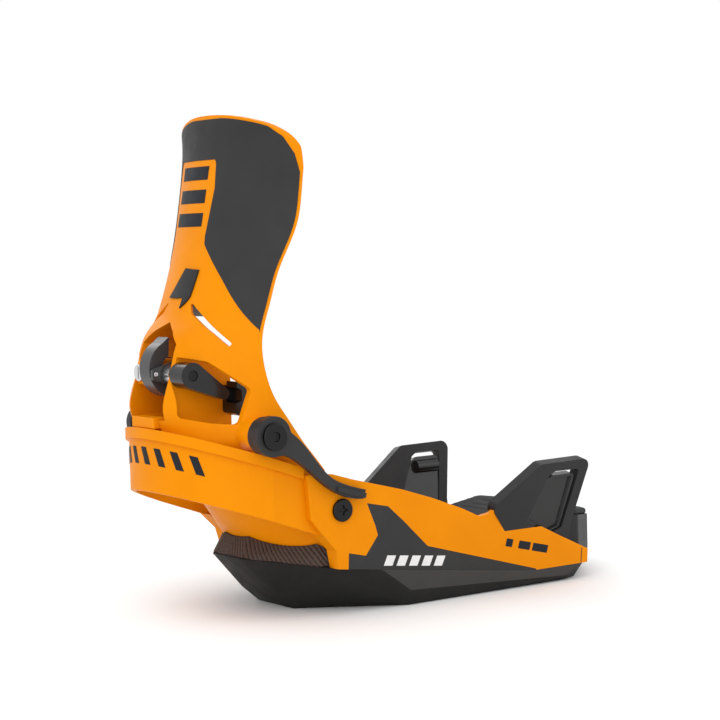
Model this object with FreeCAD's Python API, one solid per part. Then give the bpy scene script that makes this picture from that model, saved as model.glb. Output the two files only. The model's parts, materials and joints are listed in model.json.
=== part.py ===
"""Step-in snowboard binding for the right foot, strapless, with a spring release lever in the highback.

Frame, in millimetres: the origin is the centre of the mounting disc on the board's surface.
+X points to the toe, +Y to the inner side of the foot and +Z up. The release lever is on the -Y side.
"""

import FreeCAD
import Part

import math
import os

V = FreeCAD.Vector
ACROSS = V(0, 1, 0)
ALONG = V(1, 0, 0)
OUT = "parts"

# ---------------------------------------------------------------- driving dimensions
SIDE = 66.0                 # half the width over the chassis side walls
WALL = 3.5                  # side wall thickness
TOE_X = 128.0               # where the chassis ends
HEEL_BOTTOM_X = -84.0       # rear of the chassis at floor height
HEEL_TOP_X = -101.0         # and at the top of its heel bridge
SEAM_Z0 = 20.0              # height of the seam between chassis and base pad over the disc
SEAM_SLOPE = -0.125         # it falls towards the toe
SEAM_LOW_Z = 9.4            # down to this height
FLOOR_T = 6.0               # chassis floor thickness

CUP_X = -79.4               # centre of the heelcup's round
CUP_R = 66.0                # its outer radius
CUP_HALF = 62.4             # half the width over its arms
CUP_T = 3.0                 # its wall
CUP_TILT = 19.8             # degrees, rear up
CUP_TOP_Z = 108.5           # height of its rim at the rear
CUP_BAND = 34.5             # height of its band
CUP_FRONT_X = -45.0         # where its arms end, inside the chassis
LIP_PROUD = 2.0             # the rim's lip
LIP_TALL = 6.0
EAR_X = -82.6               # where the chassis walls start, outside the heelcup

PIVOT_X = -106.0            # highback hinge axis, parallel to Y
PIVOT_Z = 105.5
PIVOT_BOSS_R = 9.5
BOSS_END_Y = 41.5           # inner end of the hinge bosses
ARM_T = 5.0                 # side arm thickness
ARM_EYE_Y = 60.5            # where the arm's eye meets the highback's boss
BOLT_PIVOT_R = 4.0

BACK_T = 3.2                # highback shell thickness
WING_HALF = 57.8            # half the width over its wings, inside the heelcup

POCKET_Y = 20.5             # half the width of the latch housing
POCKET_T = 2.5
POCKET_FRONT_X = -101.0
POCKET_FLOOR_Z = 113.5
SHAFT_X = -133.0            # release shaft axis, parallel to Y
SHAFT_Z = 138.2
SHAFT_R = 3.0
LEVER_TIP = (-110.7, 125.8)
LEVER_OUT_Y = -34.0         # outer face of the release lever
LEVER_T = 8.0
LEAN_PIN_X = -141.8         # hinge of the forward-lean lever
LEAN_PIN_Z = 138.6
LEAN_LOW_Y = -6.0
LEAN_HIGH_Y = 5.0

DISC_R = 46.0               # mounting disc
DISC_STEP_R = 38.0
DISC_T = 8.7
LEDGE_Z = 4.7               # the chassis ledge under the disc's rim
BOARD_GAP = 2.0             # chassis to board
WELL_R = 46.4
WELL_T = 3.0
BOLT_GRID = 40.0            # board inserts, 40 x 40 mm
BOLT_R = 3.25
SLOT_L = 12.0

HOOK_T = 7.0                # toe hook thickness
HOOK_BEND_Z = 42.0          # it leans outwards above and inwards below this height
HOOK_LEAN = 13.0            # degrees
HOOK_FACE_Y = 65.0          # its outer face at that height
RAIL_SKIN_T = 2.6           # what the side rail keeps outside the toe hook

GAP = 0.35                  # running gap between moving neighbours
FIT = 0.05                  # radial clearance of a running fit


# ---------------------------------------------------------------- helpers
def seam_z(x):
    """Height of the seam between chassis and base pad at x."""
    return max(SEAM_LOW_Z, SEAM_Z0 + SEAM_SLOPE * x)


SEAM_KNEE_X = (SEAM_LOW_Z - SEAM_Z0) / SEAM_SLOPE


def seam_line(lift):
    """Side view of the seam, raised by lift, from behind the heel to in front of the toe."""
    return [(x, seam_z(x) + lift) for x in (-175.0, SEAM_KNEE_X, 170.0)]


def floor_z(x):
    """Top of the chassis floor at x."""
    return seam_z(x) + FLOOR_T


def cup_top_z(x):
    """Height of the heelcup's rim at x."""
    return CUP_TOP_Z - math.tan(math.radians(CUP_TILT)) * (x - (CUP_X - CUP_R))


def corner_wire(points, radius=0.0):
    """Closed wire through points in one plane, with every corner rounded to radius."""
    pts = [V(*p) for p in points]
    if radius <= 0:
        return Part.makePolygon(pts + [pts[0]])
    ends = []
    for i, p in enumerate(pts):
        before = pts[i - 1] - p
        after = pts[(i + 1) % len(pts)] - p
        room = 0.48 * min(before.Length, after.Length)
        before.normalize()
        after.normalize()
        half = math.acos(max(-1.0, min(1.0, before.dot(after)))) / 2
        back = min(room, radius / math.tan(half))
        r = back * math.tan(half)
        middle = (before + after).normalize()
        near = p + middle * (r / math.sin(half) - r)
        ends.append((p + before * back, near, p + after * back))
    edges = []
    for i, (a, near, b) in enumerate(ends):
        edges.append(Part.Arc(a, near, b).toShape())
        edges.append(Part.LineSegment(b, ends[(i + 1) % len(ends)][0]).toShape())
    return Part.Wire(edges)


def prism(plane, points, low, high, radius=0.0):
    """Solid with an outline in plane "xz", "xy" or "yz", from low to high along the third axis."""
    if plane == "xz":
        placed = [(a, low, b) for a, b in points]
        way = V(0, high - low, 0)
    elif plane == "xy":
        placed = [(a, b, low) for a, b in points]
        way = V(0, 0, high - low)
    else:
        placed = [(low, a, b) for a, b in points]
        way = V(high - low, 0, 0)
    return Part.Face(corner_wire(placed, radius)).extrude(way)


def spline(points):
    curve = Part.BSplineCurve()
    curve.interpolate([V(*p) for p in points])
    return curve.toShape()


def box(x0, x1, y0, y1, z0, z1):
    return Part.makeBox(x1 - x0, y1 - y0, z1 - z0, V(x0, y0, z0))


def rod(r, start, end):
    a = V(*start)
    b = V(*end)
    return Part.makeCylinder(r, (b - a).Length, a, b - a)


def tube(outer, inner, start, end):
    return rod(outer, start, end).cut(rod(inner, start, end))


def mirrored(shape):
    return shape.mirror(V(0, 0, 0), ACROSS)


def both_sides(shape):
    return Part.makeCompound([shape, mirrored(shape)])


def rounded(shape, radius, wanted):
    """Fillets the edges that wanted(edge) picks, and keeps the shape as it is if that fails."""
    edges = [e for e in shape.Edges if wanted(e)]
    if not edges:
        return shape
    try:
        done = shape.makeFillet(radius, edges)
    except Exception:
        return shape
    return done if done.isValid() and done.Volume > 0 else shape


def save(name, shape):
    """Writes one node. Every piece of it has to be a closed, valid solid."""
    solids = shape.Solids
    if not solids or not all(s.isValid() and s.isClosed() for s in solids):
        raise ValueError(name + " is not made of closed valid solids")
    whole = solids[0] if len(solids) == 1 else Part.makeCompound(solids)
    whole.exportStep(os.path.join(OUT, name + ".step"))
    b = whole.BoundBox
    print("%-22s %d solid(s) %8.0f mm3  x %.1f..%.1f  y %.1f..%.1f  z %.1f..%.1f" % (
        name, len(solids), whole.Volume, b.XMin, b.XMax, b.YMin, b.YMax, b.ZMin, b.ZMax))


# ---------------------------------------------------------------- highback
# z, rear of the plain round, its radius, how far the latch housing bulges behind it, half-width
BACK_ROWS = [
    (78.0, -136.0, 61.0, 9.0, WING_HALF),
    (100.0, -136.5, 61.5, 9.0, WING_HALF),
    (116.0, -136.0, 62.0, 9.5, WING_HALF),
    (132.0, -133.5, 63.0, 9.5, WING_HALF),
    (146.0, -130.5, 64.5, 8.5, WING_HALF),
    (155.0, -128.5, 65.5, 7.5, WING_HALF + 0.2),
    (161.0, -127.0, 66.5, 5.0, WING_HALF + 0.5),
    (166.5, -125.0, 67.5, 1.5, WING_HALF + 0.8),
    (173.0, -122.5, 69.0, 0.0, WING_HALF + 1.2),
    (195.0, -114.5, 73.0, 0.0, WING_HALF + 2.6),
    (224.0, -107.5, 76.0, 0.0, WING_HALF + 4.4),
    (250.0, -102.5, 82.0, 0.0, WING_HALF + 6.4),
    (270.0, -99.5, 94.0, 0.0, WING_HALF + 8.0),
    (288.0, -97.5, 104.0, 0.0, WING_HALF + 9.0),
]
BULGE_FLAT = 20.0           # the bulge is full to this half-width
BULGE_END = 46.0            # and has faded out here
WING_FRONT_X = -56.0


def bulge_share(y):
    t = (BULGE_END - abs(y)) / (BULGE_END - BULGE_FLAT)
    t = max(0.0, min(1.0, t))
    return t * t * (3 - 2 * t)


def back_curve(rear, radius, bulge, half, inset):
    """Half of one level line of the highback, as (x, y) from the spine to the wing's tip."""
    r = radius - inset
    limit = half - inset
    side_angle = math.asin(min(1.0, limit / r))
    steps = 9
    points = []
    for i in range(steps + 1):
        a = side_angle * i / steps
        y = r * math.sin(a)
        x = rear + radius - r * math.cos(a) - bulge * bulge_share(y)
        points.append((x, y))
    x, y = points[-1]
    reach = WING_FRONT_X + inset - x
    if reach > 4:
        points.append((x + reach / 2, y))
        points.append((x + reach, y))
    return points


def back_solid(inset):
    """The highback's outer surface, moved in by inset and closed by a flat front."""
    wires = []
    for z, *row in BACK_ROWS:
        side = back_curve(*row, inset)
        line = [(x, -y, z) for x, y in reversed(side)] + [(x, y, z) for x, y in side[1:]]
        wires.append(Part.Wire([spline(line), Part.LineSegment(V(*line[-1]), V(*line[0])).toShape()]))
    return Part.makeLoft(wires, True, False)


# side view of the highback's front edge, from the wing's tip to the top
BACK_EDGE = [
    (-64.0, 82.5), (-69.0, 88.5), (-78.5, 99.5), (-89.0, 113.5), (-96.5, 126.0), (-100.0, 139.0),
    (-100.8, 152.0), (-100.0, 160.0), (-96.3, 173.0), (-89.7, 193.6), (-83.5, 208.6), (-79.2, 221.0),
    (-77.0, 234.0), (-75.8, 246.0), (-74.6, 262.0), (-72.0, 292.0),
]
# rear view of its top, as half-width and height
BACK_CROWN = [
    (0.0, 280.8), (20.0, 279.8), (35.0, 277.0), (47.6, 272.4), (54.6, 266.6), (59.4, 257.0),
    (61.6, 246.0), (63.5, 232.0),
]
FAR_REAR = -175.0


def back_outline_side():
    """Everything behind the front edge, as a prism across the binding."""
    edge = spline([(x, -90, z) for x, z in BACK_EDGE])
    x0, z0 = BACK_EDGE[0]
    x1, z1 = BACK_EDGE[-1]
    corners = [V(x1, -90, z1), V(FAR_REAR, -90, z1), V(FAR_REAR, -90, z0), V(x0, -90, z0)]
    return Part.Face(Part.Wire([edge] + Part.makePolygon(corners).Edges)).extrude(V(0, 180, 0))


def back_outline_rear():
    """Everything below the crown, as a prism along the binding."""
    crown = spline([(FAR_REAR, -y, z) for y, z in reversed(BACK_CROWN)]
                   + [(FAR_REAR, y, z) for y, z in BACK_CROWN[1:]])
    y, z = BACK_CROWN[-1]
    low = 70.0
    corners = [V(FAR_REAR, y, z), V(FAR_REAR, y + 4, low), V(FAR_REAR, -y - 4, low), V(FAR_REAR, -y, z)]
    return Part.Face(Part.Wire([crown] + Part.makePolygon(corners).Edges)).extrude(V(135, 0, 0))


def above_cup(clearance):
    """The space above the heelcup's rim."""
    ends = [(x, cup_top_z(x) + clearance) for x in (FAR_REAR, -40.0)]
    return prism("xz", ends + [(-40, 300), (FAR_REAR, 300)], -90, 90)


# the openings in the side of the highback, in side view
LEVER_WINDOW = [(-139, 149), (-124, 145.5), (-107, 130), (-113, 111), (-125, 112), (-139, 115.5)]
# and in a view turned by SLIT_TURN degrees, as distance across and height
SLIT_WINDOW = [(76.7, 178.0), (63.5, 166.3), (49.8, 155.0), (51.4, 153.2), (60.0, 160.2), (75.1, 170.9)]
SLIT_TURN = 45.0


def latch_housing_outline():
    """The latch housing's block, from behind the shell to the boot's heel."""
    seen_from_rear = prism("yz", [(-POCKET_Y, 90), (POCKET_Y, 90), (POCKET_Y, 158), (9, 175), (-9, 175),
                                  (-POCKET_Y, 158)], -165, POCKET_FRONT_X)
    front = POCKET_FRONT_X
    seen_from_side = prism("xz", [(-165, 90), (front, 90), (front, 147), (front - 6.5, 154.5),
                                  (front - 18, 163), (front - 23, 178), (-165, 178)], -30, 30)
    return seen_from_rear.common(seen_from_side)


def latch_housing_hollow():
    """Its hollow, open to the rear."""
    half = POCKET_Y - POCKET_T
    low = POCKET_FLOOR_Z
    front = POCKET_FRONT_X - POCKET_T
    seen_from_rear = prism("yz", [(-half, low), (half, low), (half, 155), (10, 161.5), (0, 166.5),
                                  (-10, 161.5), (-half, 155)], -165, front, 1.5)
    seen_from_side = prism("xz", [(-170, 90), (front, 90), (front, 145.5), (front - 7, 154.2),
                                  (front - 17.5, 163.5), (front - 20.5, 168), (-170, 168)], -30, 30)
    return seen_from_rear.common(seen_from_side)


def screw_block():
    """Block on the housing's inner wall that takes the frame screw."""
    return box(-137.5, -120.0, 7.0, POCKET_Y - POCKET_T + 0.5, 132.0, 145.5)


def highback_shell():
    housing = latch_housing_outline()
    trim = back_outline_side().common(back_outline_rear()).common(above_cup(0.6))
    shell = back_solid(0.0).common(trim)
    shell = shell.cut(back_solid(BACK_T).cut(housing))
    shell = shell.cut(latch_housing_hollow().cut(screw_block()))
    window = prism("xz", LEVER_WINDOW, -70, -POCKET_Y, 3.0)
    slit = prism("yz", SLIT_WINDOW, -125, -85, 0.8)
    slit.rotate(V(0, 0, 0), V(0, 0, 1), SLIT_TURN)
    for cutter in (window, slit):
        cutter = cutter.cut(housing)
        shell = shell.cut(cutter).cut(mirrored(cutter))
    boss = rod(PIVOT_BOSS_R, (PIVOT_X, 48, PIVOT_Z), (PIVOT_X, ARM_EYE_Y - GAP, PIVOT_Z))
    boss = boss.fuse(rod(7.3, (PIVOT_X, BOSS_END_Y, PIVOT_Z), (PIVOT_X, 49, PIVOT_Z)))
    shell = shell.fuse(boss).fuse(mirrored(boss))
    r = BOLT_PIVOT_R + FIT
    shell = shell.cut(rod(r, (PIVOT_X, -90, PIVOT_Z), (PIVOT_X, 90, PIVOT_Z)))
    shell = shell.cut(rod(SHAFT_R + FIT, (SHAFT_X, -40, SHAFT_Z), (SHAFT_X, -10, SHAFT_Z)))
    shell = shell.cut(rod(2.0, (-160, 12, LEAN_PIN_Z), (-118, 12, LEAN_PIN_Z)))
    shell = shell.cut(box(POCKET_FRONT_X - 16, POCKET_FRONT_X + 6, -9, 9, 131, 158.5))
    shell = shell.cut(box(-160, -137.2, -12.3, 12.3, 100, POCKET_FLOOR_Z + 1))
    return shell.removeSplitter()


def highback_pad():
    """Foam pad bonded inside the upper highback."""
    outline = prism("yz", [(-32, 199), (32, 199), (49, 222), (50, 246), (38, 266), (-38, 266),
                           (-50, 246), (-49, 222)], FAR_REAR, -40, 9)
    side = back_outline_side()
    side.translate(V(-3, 0, 0))
    return back_solid(BACK_T).cut(back_solid(BACK_T + 4.0)).common(outline).common(side)


def lever_catch():
    """C-shaped spring clip at the front edge of the lever's window, that holds the lever's tip."""
    outline = [(-106.0, 133.8), (-99.8, 131.5), (-99.8, 119), (-104.5, 114.5), (-109.0, 116.5),
               (-106.8, 121.8), (-103.2, 122.6), (-103.2, 128.6), (-106.4, 130.2)]
    return prism("xz", outline, -35.5, -24.5, 0.8)


def catch_post():
    """The catch's foot, bonded to the latch housing's side."""
    return box(-106.5, POCKET_FRONT_X - 0.5, -24.5, -POCKET_Y, 117.0, 131.0)


def cleat_guide():
    """Wedge under the spine that leads the boot's heel cleat down into the latch."""
    outline = [(-114.5, 196), (-108.0, 194), (-103.2, 176), (-104.5, 168), (-119.0, 177), (-118.4, 182)]
    wedge = prism("xz", outline, -9, 9, 1.0)
    return wedge.common(back_solid(BACK_T + 0.02)).cut(latch_housing_outline())


# ---------------------------------------------------------------- latch, lever and forward lean
def release_lever():
    hub = rod(7.2, (SHAFT_X, -POCKET_Y - GAP, SHAFT_Z), (SHAFT_X, LEVER_OUT_Y, SHAFT_Z))
    tip_x, tip_z = LEVER_TIP
    run = math.hypot(tip_x - SHAFT_X, tip_z - SHAFT_Z)
    slope = math.atan2(tip_z - SHAFT_Z, tip_x - SHAFT_X)
    big, small = 7.2, 3.2
    lean = math.asin((big - small) / (run - small))
    outline = []
    for r, far in ((big, 0.0), (small, run - small)):
        for sign in (1, -1):
            outline.append((far + r * math.sin(lean), sign * r * math.cos(lean)))
    order = [outline[0], outline[2], outline[3], outline[1]]
    places = [(SHAFT_X + u * math.cos(slope) - v * math.sin(slope),
               SHAFT_Z + u * math.sin(slope) + v * math.cos(slope)) for u, v in order]
    inner_y = LEVER_OUT_Y + LEVER_T
    arm = prism("xz", places, LEVER_OUT_Y, inner_y)
    end_x = SHAFT_X + (run - small) * math.cos(slope)
    end_z = SHAFT_Z + (run - small) * math.sin(slope)
    arm = arm.fuse(rod(small, (end_x, LEVER_OUT_Y, end_z), (end_x, inner_y, end_z)))
    lever = arm.fuse(hub)
    lever = lever.cut(rod(SHAFT_R, (SHAFT_X, -40, SHAFT_Z), (SHAFT_X, 0, SHAFT_Z)))
    return lever.removeSplitter()


def lever_shaft():
    shaft = rod(SHAFT_R, (SHAFT_X, LEVER_OUT_Y + 2.2, SHAFT_Z), (SHAFT_X, -7.2, SHAFT_Z))
    return shaft.cut(rod(1.5, (SHAFT_X, LEVER_OUT_Y, SHAFT_Z), (SHAFT_X, LEVER_OUT_Y + 10, SHAFT_Z)))


def lever_screw():
    head = rod(2.9, (SHAFT_X, LEVER_OUT_Y + 0.4, SHAFT_Z), (SHAFT_X, LEVER_OUT_Y + 2.2, SHAFT_Z))
    shank = rod(1.5, (SHAFT_X, LEVER_OUT_Y + 2.0, SHAFT_Z), (SHAFT_X, LEVER_OUT_Y + 9, SHAFT_Z))
    return head.fuse(shank).removeSplitter()


def heel_latch():
    """Steel hook on the release shaft, whose nose holds the boot's heel cleat down."""
    hub_y0, hub_y1 = -17.2, -10.2
    hub = rod(5.5, (SHAFT_X, hub_y0, SHAFT_Z), (SHAFT_X, hub_y1, SHAFT_Z))
    arm = prism("xz", [(SHAFT_X, 133.4), (-108, 134.5), (-108, 143), (SHAFT_X, 143.4)], hub_y0, hub_y1)
    bridge = prism("xz", [(-115.5, 134.2), (-108, 134.5), (-108, 143), (-115.5, 143.1)], hub_y0, 8)
    nose = prism("xz", [(-112, 134.3), (-98, 134.6), (-95.5, 137.0), (-101, 143.2), (-112, 143)], -8, 8)
    latch = hub.fuse([arm, bridge, nose])
    return latch.cut(rod(SHAFT_R, (SHAFT_X, -30, SHAFT_Z), (SHAFT_X, 0, SHAFT_Z))).removeSplitter()


def latch_frame():
    """Steel bracket in the housing that carries the shaft's inner end and the lean lever's pin."""
    plate = prism("xz", [(-144.0, 135.6), (-141.0, 134.6), (-127.5, 131), (-117.5, 131), (-117.5, 146),
                         (-128, 146), (-140.8, 142.2), (-144.0, 141.0)], -9.4, -7.2, 1.0)
    back = box(-120.0, -117.5, -9.4, POCKET_Y - POCKET_T, 131, 146)
    frame = plate.fuse(back)
    frame = frame.cut(rod(SHAFT_R + FIT, (SHAFT_X, -12, SHAFT_Z), (SHAFT_X, -5, SHAFT_Z)))
    frame = frame.cut(rod(1.3, (LEAN_PIN_X, -12, LEAN_PIN_Z), (LEAN_PIN_X, -5, LEAN_PIN_Z)))
    return frame.cut(rod(2.0, (-121, 12, LEAN_PIN_Z), (-116, 12, LEAN_PIN_Z))).removeSplitter()


def frame_screw():
    head = rod(4.7, (-141.0, 12, LEAN_PIN_Z), (-137.5, 12, LEAN_PIN_Z))
    shank = rod(2.0, (-138.5, 12, LEAN_PIN_Z), (-117.5, 12, LEAN_PIN_Z))
    slot = box(-142, -139.8, 11.4, 12.6, LEAN_PIN_Z - 3.4, LEAN_PIN_Z + 3.4)
    return head.fuse(shank).cut(slot).removeSplitter()


def lean_lever():
    """Curved flip lever of the forward-lean setting, seen in the highback's rear opening."""
    cx, cz, outer, inner = -128.0, 141.0, 16.0, 8.0
    ring = tube(outer, inner, (cx, LEAN_LOW_Y, cz), (cx, LEAN_HIGH_Y, cz))
    sector = prism("xz", [(cx - 4, cz + 2), (cx - 2, cz + 30), (cx - 30, cz + 30), (cx - 30, cz - 24),
                          (cx - 5, cz - 24)], LEAN_LOW_Y - 1, LEAN_HIGH_Y + 1)
    lever = ring.common(sector)
    tab = prism("xz", [(-134.5, 154.2), (-130.5, 157.2), (-131.5, 158.4), (-135.4, 155.2)],
                LEAN_LOW_Y, LEAN_HIGH_Y)
    lever = lever.fuse(tab)
    pin_hole = rod(1.3 + FIT, (LEAN_PIN_X, -10, LEAN_PIN_Z), (LEAN_PIN_X, 10, LEAN_PIN_Z))
    return lever.cut(pin_hole).removeSplitter()


def lean_pin():
    return rod(1.3, (LEAN_PIN_X, -9.8, LEAN_PIN_Z), (LEAN_PIN_X, LEAN_HIGH_Y + 0.6, LEAN_PIN_Z))


def lean_block():
    """Sliding stop that rests on the heelcup's rim and sets the forward lean."""
    low = cup_top_z(-145.6) + GAP
    return box(-146.0, -137.6, -12, 12, low, POCKET_FLOOR_Z + 1.5)


# ---------------------------------------------------------------- heelcup and side arms
def cup_plan(r, half, front):
    """Face with the heelcup's plan outline: a round rear and straight sides."""
    x = CUP_X - math.sqrt(r * r - half * half)
    rear = Part.Arc(V(x, -half, 0), V(CUP_X - r, 0, 0), V(x, half, 0)).toShape()
    sides = Part.makePolygon([V(x, half, 0), V(front, half, 0), V(front, -half, 0), V(x, -half, 0)])
    return Part.Face(Part.Wire([rear] + sides.Edges))


def cup_slab(low, high):
    """The space between two planes parallel to the rim, measured down from it."""
    ends = [(x, cup_top_z(x)) for x in (FAR_REAR, 20.0)]
    points = [(x, z - low) for x, z in ends] + [(x, z - high) for x, z in reversed(ends)]
    return prism("xz", points, -90, 90)


def heelcup_band():
    """The heelcup's band as a solid with its inside filled."""
    return cup_plan(CUP_R, CUP_HALF, CUP_FRONT_X).extrude(V(0, 0, 140)).common(cup_slab(0, CUP_BAND))


def cup_inside():
    """The space within the heelcup's wall, open at the front."""
    return cup_plan(CUP_R - CUP_T, CUP_HALF - CUP_T, CUP_FRONT_X + 9).extrude(V(0, 0, 140))


def heelcup():
    band = heelcup_band()
    band_inner = cup_inside()
    lip = cup_plan(CUP_R + LIP_PROUD, CUP_HALF + LIP_PROUD, EAR_X - 0.4).extrude(V(0, 0, 140))
    lip = lip.common(cup_slab(0, LIP_TALL))
    cup = band.fuse(lip).cut(band_inner)
    for r, x, z in [(3.0, *CUP_SCREW)] + [(1.8, *place) for place in ARM_SCREWS]:
        cup = cup.cut(rod(r, (x, -80, z), (x, 80, z)))
    return cup.removeSplitter()


CUP_SCREW = (-59.8, 60.9)
NUT_R = 5.0
ARM_SCREWS = [(-72.0, 78.6), (-54.0, 71.6)]
ARM_OUTLINE_TOP = [(-93.8, 106.0), (-81.2, 93.0), (-68.5, 79.7), (-58.0, 74.8), (-46.5, 71.5)]
ARM_OUTLINE_LOW = [(-48.0, 66.6), (-60.0, 68.8), (-71.9, 75.5), (-87.9, 88.8), (-99.5, 95.0)]


def arm_plate(low, high):
    """The arm's outline as a plate, with a round eye at the pivot."""
    top = spline([(x, low, z) for x, z in ARM_OUTLINE_TOP])
    lower = spline([(x, low, z) for x, z in ARM_OUTLINE_LOW])
    end = Part.LineSegment(V(-46.5, low, 71.5), V(-48.0, low, 66.6)).toShape()
    eye_side = Part.LineSegment(V(-99.5, low, 95.0), V(-93.8, low, 106.0)).toShape()
    plate = Part.Face(Part.Wire([top, end, lower, eye_side])).extrude(V(0, high - low, 0))
    blend = prism("xz", [(-110, 115.6), (-100, 112.2), (-93.8, 106.0), (-99.5, 95.0), (-106, 94.6)],
                  low, high)
    eye = rod(11.0, (PIVOT_X, low, PIVOT_Z), (PIVOT_X, high, PIVOT_Z))
    blend = blend.common(rod(14.5, (PIVOT_X + 2, low, PIVOT_Z), (PIVOT_X + 2, high, PIVOT_Z)))
    return plate.fuse([eye, blend.common(box(-104, -90, low, high, 90, 113.5))]).removeSplitter()


def side_arm():
    """Outer-side arm that carries the highback's hinge. The inner side's is its mirror image."""
    arm = arm_plate(-SIDE - ARM_T, -SIDE)
    flange = prism("xz", [(-66, 75.0), (-46.8, 69.6), (-47.6, 66.9), (-66, 72.2)], -SIDE - ARM_T - 1.2,
                   -SIDE - ARM_T + 1)
    eye = rod(10.3, (PIVOT_X, -SIDE - 1, PIVOT_Z), (PIVOT_X, -ARM_EYE_Y, PIVOT_Z))
    arm = arm.fuse([flange, eye])
    arm = arm.cut(rod(BOLT_PIVOT_R, (PIVOT_X, -90, PIVOT_Z), (PIVOT_X, -50, PIVOT_Z)))
    for x, z in ARM_SCREWS:
        arm = arm.cut(rod(1.8, (x, -SIDE - 3.5, z), (x, -SIDE + 1, z)))
    return arm.removeSplitter()


def arm_screws():
    """Two screws a side, from inside the heelcup's arm, through the chassis wall into the side arm."""
    screws = []
    for x, z in ARM_SCREWS:
        head_y = -CUP_HALF + CUP_T
        head = rod(3.4, (x, head_y, z), (x, head_y + 1.6, z))
        shank = rod(1.8, (x, head_y + 0.5, z), (x, -SIDE - 3.5, z))
        screws.append(head.fuse(shank).removeSplitter())
    return both_sides(Part.makeCompound(screws))


def pivot_bolts():
    head = rod(7.5, (PIVOT_X, -SIDE - ARM_T, PIVOT_Z), (PIVOT_X, -SIDE - ARM_T - 2.2, PIVOT_Z))
    head = rounded(head, 0.8, lambda e: e.BoundBox.YMax < -SIDE - ARM_T - 2.1)
    shank = rod(BOLT_PIVOT_R, (PIVOT_X, -SIDE - ARM_T - 1, PIVOT_Z), (PIVOT_X, -BOSS_END_Y + 5.2, PIVOT_Z))
    bolt = head.fuse(shank)
    bolt = bolt.cut(rod(2.6, (PIVOT_X, -80, PIVOT_Z), (PIVOT_X, -SIDE - ARM_T - 0.6, PIVOT_Z)))
    return both_sides(bolt.removeSplitter())


def pivot_washers():
    y = -BOSS_END_Y + GAP
    return both_sides(tube(6.8, BOLT_PIVOT_R, (PIVOT_X, y, PIVOT_Z), (PIVOT_X, y + 1.2, PIVOT_Z)))


def pivot_nuts():
    y = -BOSS_END_Y + GAP + 1.2
    return both_sides(tube(6.0, BOLT_PIVOT_R, (PIVOT_X, y, PIVOT_Z), (PIVOT_X, y + 3.8, PIVOT_Z)))


def heelcup_screws():
    x, z = CUP_SCREW
    head = rod(6.4, (x, -SIDE, z), (x, -SIDE - 2.0, z))
    head = rounded(head, 0.8, lambda e: e.BoundBox.YMax < -SIDE - 1.9)
    screw = head.fuse(rod(3.0, (x, -SIDE - 1, z), (x, -CUP_HALF + CUP_T + 3.2, z)))
    cross = box(x - 2.8, x + 2.8, -SIDE - 3, -SIDE - 0.7, z - 0.6, z + 0.6)
    cross = cross.fuse(box(x - 0.6, x + 0.6, -SIDE - 3, -SIDE - 0.7, z - 2.8, z + 2.8))
    return both_sides(screw.cut(cross).removeSplitter())


def heelcup_nuts():
    x, z = CUP_SCREW
    return both_sides(tube(NUT_R, 3.0, (x, -CUP_HALF + CUP_T, z), (x, -CUP_HALF + CUP_T + 3.2, z)))


# ---------------------------------------------------------------- chassis and base
RAIL_TOP = [(EAR_X, 82.0), (-64.9, 81.2), (-52.2, 77.3), (-17.9, 68.4), (3.4, 61.5), (25, 53.3),
            (38.2, 47.2), (46.5, 48.4), (50.4, 50.7), (56, 49.6), (70.1, 44), (101.2, 29.3), (119.5, 21.1),
            (TOE_X, 17.2)]
RAIL_LOW = [(TOE_X, -5), (-59.5, -5), (-60.5, 28), (-62.5, 38), (-74.6, 50.7), (-80.4, 57.4)]
PANEL = [(-42.5, 63.0), (-28.0, 59.9), (1.5, 33.8), (86.0, 10.2), (86.0, 8.0), (-53.0, 20.0),
         (-54.0, 36.0), (-42.1, 33.2), (-34.8, 44.2)]
PANEL_T = 1.2
DRAFT_TOP_Z = 50.0          # below this the walls lean inwards
DRAFT_FOOT_Y = 57.5         # half-width of the draft at board height


def above_seam(lift):
    return prism("xz", seam_line(lift) + [(170, 120), (FAR_REAR, 120)], -90, 90)


def draft_y(z):
    """Half the width over the chassis walls at height z."""
    return DRAFT_FOOT_Y + (SIDE - DRAFT_FOOT_Y) * min(1.0, z / DRAFT_TOP_Z)


def draft(inset):
    """The space within the leaning walls, less inset on each side."""
    half = [(draft_y(z) - inset, z) for z in (-5.0, DRAFT_TOP_Z, 120.0)]
    return prism("yz", half + [(-y, z) for y, z in reversed(half)], FAR_REAR, 170)


def heel_ring(inset):
    """Flaring heel of the chassis, as a solid closed at its front."""
    wires = []
    for z, rear, half in ((20.0, HEEL_BOTTOM_X + 3.0, 53.0), (38.0, HEEL_BOTTOM_X, 56.0),
                          (62.0, HEEL_TOP_X, 58.4)):
        y = half - inset
        a, b, c = V(-48 + inset, -y, z), V(rear + inset, 0, z), V(-48 + inset, y, z)
        wires.append(Part.Wire([Part.Arc(a, b, c).toShape(), Part.LineSegment(c, a).toShape()]))
    return Part.makeLoft(wires, True, True)


def chassis_wall():
    """Outer-side wall, before the side panel is let into it."""
    outline = prism("xz", RAIL_TOP + RAIL_LOW, -SIDE, -45)
    upper = outline.cut(draft(WALL))
    lower_points = [(-80.0, 51.0), (-44.0, 37.2), (-44.0, 34.0), (TOE_X, 13.0), (TOE_X, -5), (-80.0, -5)]
    lower = prism("xz", lower_points, -SIDE, -54.0).common(outline)
    wall = upper.fuse(lower)
    toe_round = prism("xy", [(FAR_REAR, -90), (114, -90), (TOE_X, -57), (TOE_X, -30), (FAR_REAR, -30)],
                      0, 120, 9.0)
    return wall.common(draft(0.0)).common(above_seam(0.0)).common(toe_round)


def side_panel(wall):
    zone = prism("xz", PANEL, -SIDE - 5, -55)
    return wall.common(zone).cut(draft(PANEL_T))


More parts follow.
